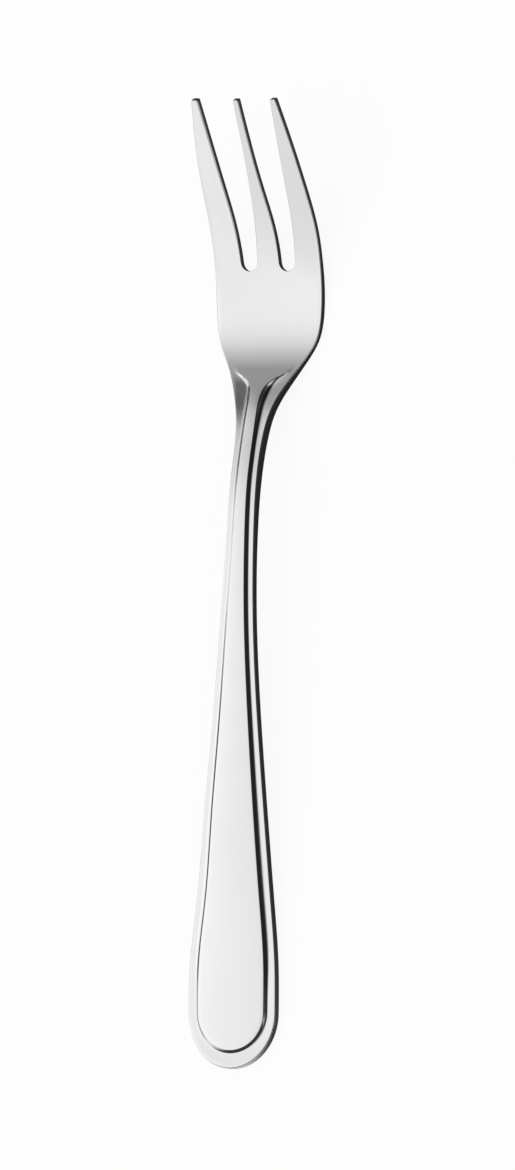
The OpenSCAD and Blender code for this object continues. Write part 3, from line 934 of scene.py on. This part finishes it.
def ramp_between(tree, value, stops, place):
    """A grey level that follows the stops (value, level) smoothly."""
    curve = node(tree, "ShaderNodeValToRGB", place)
    curve.color_ramp.interpolation = "B_SPLINE"
    points = curve.color_ramp.elements
    while len(points) > 1:
        points.remove(points[-1])
    points[0].position = stops[0][0]
    points[0].color = (stops[0][1],) * 3 + (1,)
    for at, level in stops[1:]:
        point = points.new(at)
        point.color = (level,) * 3 + (1,)
    wire(tree, value, curve.inputs["Fac"])
    return curve.outputs["Color"]


def product(tree, factors, place):
    """Multiplies the factors one after the other."""
    total = factors[0]
    for i, factor in enumerate(factors[1:]):
        times = node(tree, "ShaderNodeMath", (place[0] + 180 * i, place[1]), operation="MULTIPLY")
        wire(tree, total, times.inputs[0])
        wire(tree, factor, times.inputs[1])
        total = times.outputs["Value"]
    return total


def flag(tree, directions, darkness, masks, place):
    """What a dark flag in the tent leaves of the light: 1 outside it, less where its masks meet."""
    steps = [smooth_step(tree, directions[name], start, end, (place[0], place[1] - 260 * i))
             for i, (name, start, end) in enumerate(masks)]
    keep = node(tree, "ShaderNodeMath", (place[0] + 800, place[1]), operation="MULTIPLY_ADD")
    keep.inputs[1].default_value = -darkness
    keep.inputs[2].default_value = 1
    wire(tree, product(tree, steps, (place[0] + 220, place[1])), keep.inputs[0])
    return keep.outputs["Value"]


def set_tent():
    """A light tent round the fork, which only metal sees: bright on the left, dark on the right
    and dimmer beyond the tines, with dark flags."""
    cloth, tree, glow = glowing_sheet("tent_cloth")
    where = node(tree, "ShaderNodeTexCoord", (-1700, 0))
    unit = node(tree, "ShaderNodeVectorMath", (-1500, 0), operation="NORMALIZE")
    axes = node(tree, "ShaderNodeSeparateXYZ", (-1300, 0))
    wire(tree, where.outputs["Object"], unit.inputs[0])
    wire(tree, unit.outputs["Vector"], axes.inputs["Vector"])
    across, along, up = (axes.outputs[axis] for axis in "XYZ")
    directions = {"across": across, "along": along, "up": up}
    turn = node(tree, "ShaderNodeMath", (-1100, 100), operation="ARCTAN2")
    wire(tree, across, turn.inputs[0])
    wire(tree, up, turn.inputs[1])
    angle = share_between(tree, turn.outputs["Value"], -math.pi / 2, math.pi / 2, (-900, 100))
    level = node(tree, "ShaderNodeMix", (-380, 100), data_type="RGBA")
    behind = smooth_step(tree, along, BEHIND_START, BEHIND_FULL, (-700, -320))
    wire(tree, behind, level.inputs["Factor"])
    wire(tree, ramp_between(tree, angle, BESIDE_LEVELS, (-700, 200)), level.inputs["A"])
    wire(tree, ramp_between(tree, angle, BEHIND_LEVELS, (-700, -60)), level.inputs["B"])
    wire(tree, level.outputs["Result"], glow.inputs["Color"])
    length = share_between(tree, along, -1, 1, (-1100, -500))
    factors = [ramp_between(tree, length, LENGTH_LEVELS, (-700, -500))]
    for i, (darkness, masks) in enumerate((LEFT_FLAG, LOW_FLAG, END_FLAG, POCKET_FLAG)):
        factors.append(flag(tree, directions, darkness, masks, (-1100, -800 - 1100 * i)))
    strength = node(tree, "ShaderNodeMath", (860, -300), operation="MULTIPLY")
    strength.inputs[1].default_value = TENT_STRENGTH
    wire(tree, product(tree, factors, (0, -300)), strength.inputs[0])
    wire(tree, strength.outputs["Value"], glow.inputs["Strength"])
    shape = bmesh.new()
    bmesh.ops.create_uvsphere(shape, u_segments=96, v_segments=48, radius=TENT_RADIUS)
    for face in shape.faces:
        face.smooth = True
    return only_in_metal(set_up("light_tent", shape, cloth))


def set_card(name, places, axis, reach, levels):
    """A glowing card that only metal sees, a painted reflection, of unit squares put in their places.
    Its glow follows the levels along one axis, from one end of the reach to the other."""
    reflection_glow, tree, glow = glowing_sheet(name + "_reflection_glow")
    where = node(tree, "ShaderNodeTexCoord", (-900, 0))
    axes = node(tree, "ShaderNodeSeparateXYZ", (-700, 0))
    wire(tree, where.outputs["Object"], axes.inputs["Vector"])
    share = share_between(tree, axes.outputs[axis], *reach, (-500, 0))
    wire(tree, ramp_between(tree, share, levels, (-280, 0)), glow.inputs["Color"])
    shape = bmesh.new()
    for place in places:
        bmesh.ops.create_grid(shape, x_segments=1, y_segments=1, size=1, matrix=place)
    return only_in_metal(set_up(name, shape, reflection_glow))


def set_table_card(name, patches, levels):
    """Glowing paper that lies on the table in patches, a painted reflection that only the steel shows.
    """
    places = [Matrix.LocRotScale(Vector(((left + right) / 2, (near + far) / 2, REFLECTION_SHEET_HEIGHT)), None,
                                 Vector(((right - left) / 2, (far - near) / 2, 1)))
              for left, right, near, far in patches]
    return set_card(name, places, "Y", REFLECTION_SHEET_REACH, levels)


def set_end_card():
    """A glowing card that stands off the round end of the handle, a painted reflection that only the
    steel shows.
    """
    place = Matrix.LocRotScale(END_CARD_MIDDLE, Euler((math.pi / 2, 0, 0)),
                               Vector((END_CARD_HALF_WIDTH, END_CARD_HALF_HEIGHT, 1)))
    reach = (END_CARD_MIDDLE.x - END_CARD_HALF_WIDTH, END_CARD_MIDDLE.x + END_CARD_HALF_WIDTH)
    return set_card("end_reflection_card", [place], "X", reach, END_CARD_LEVELS)


def set_lights():
    world = bpy.data.worlds.new("studio")
    bpy.context.scene.world = world
    world.use_nodes = True
    tree = world.node_tree
    air = tree.nodes["Background"]
    air.inputs["Color"].default_value = (1, 1, 1, 1)
    air.inputs["Strength"].default_value = WORLD_STRENGTH
    seen_white(tree, air.outputs["Background"], tree.nodes["World Output"].inputs["Surface"], 1.0)
    lamp = bpy.data.lights.new("soft_key", "AREA")
    lamp.shape = "RECTANGLE"
    lamp.size = KEY_WIDTH
    lamp.size_y = KEY_LENGTH
    lamp.energy = KEY_POWER
    key = bpy.data.objects.new("soft_key", lamp)
    bpy.context.scene.collection.objects.link(key)
    key.location = KEY_PLACE
    key.rotation_euler = KEY_PLACE.to_track_quat("Z", "Y").to_euler()
    key.visible_glossy = False
    key.visible_camera = False


whole = forge_fork()
whole_normals = number_points(whole)
steel = polished_steel(scratch_group(), wear_group())
for zone, name in enumerate(ZONES):
    piece = cut_zone(whole, whole_normals, zone, name + "_steel", steel)
    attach(piece, "root")
    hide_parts(name)
whole.free()

# Painted reflections for the steel: glowing sheets that the camera doesn't see
under_reflection_card = set_table_card("under_reflection_card", UNDER_PATCHES, UNDER_LEVELS)
left_reflection_card = set_table_card("left_reflection_card", LEFT_PATCHES, LEFT_LEVELS)
set_floor()
set_tent()
set_end_card()
set_lights()
set_camera()
bpy.context.scene.view_settings.view_transform = "Standard"
